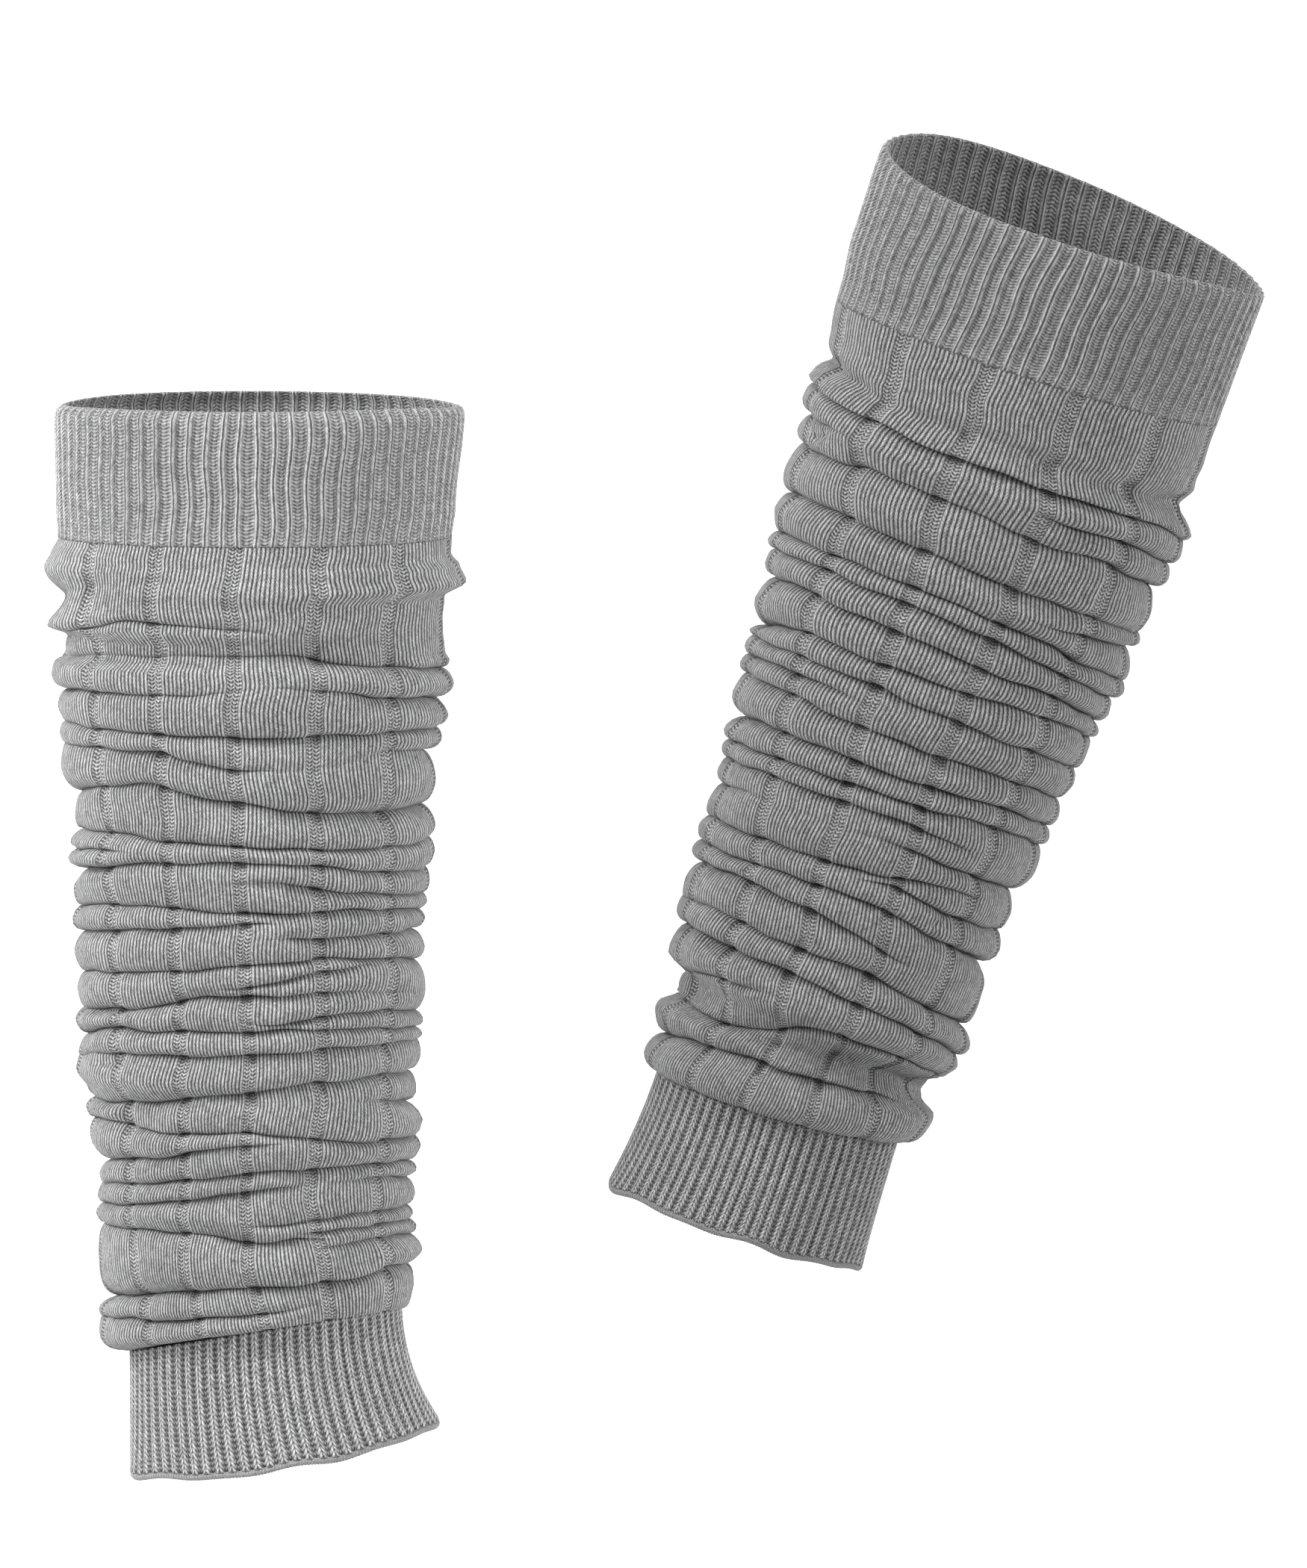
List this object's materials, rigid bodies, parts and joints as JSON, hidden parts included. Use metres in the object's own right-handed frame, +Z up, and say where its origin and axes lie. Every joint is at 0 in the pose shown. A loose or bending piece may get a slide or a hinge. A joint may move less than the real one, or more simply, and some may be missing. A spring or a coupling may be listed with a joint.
{
  "type": "leg warmers",
  "caption": "Slouched rib-knit leg warmers, open tubes with ribbed top and ankle cuffs, filled out as worn and gathered in uneven folds.",
  "frame": {"origin": "middle of the left leg warmer's top cuff, where the calf holds it", "axes": "+Z up, +X to the viewer's right, +Y away from the viewer"},
  "size_m": [0.3738, 0.1246, 0.4102],
  "materials": {
    "left_top_cuff_knit": "grey melange rib knit",
    "left_leg_knit": "grey melange knit with sunken ladders",
    "left_ankle_cuff_knit": "grey melange rib knit",
    "left_hem_binding": "grey bound edge with a stitch line",
    "right_top_cuff_knit": "grey melange rib knit",
    "right_leg_knit": "grey melange knit with sunken ladders",
    "right_ankle_cuff_knit": "grey melange rib knit",
    "right_hem_binding": "grey bound edge with a stitch line"
  },
  "bodies": {
    "root": {"left_top_cuff": "left_top_cuff_knit", "left_leg": "left_leg_knit", "left_ankle_cuff": "left_ankle_cuff_knit", "left_hem_edge": "left_hem_binding", "right_top_cuff": "right_top_cuff_knit", "right_leg": "right_leg_knit", "right_ankle_cuff": "right_ankle_cuff_knit", "right_hem_edge": "right_hem_binding"}
  },
  "joints": []
}
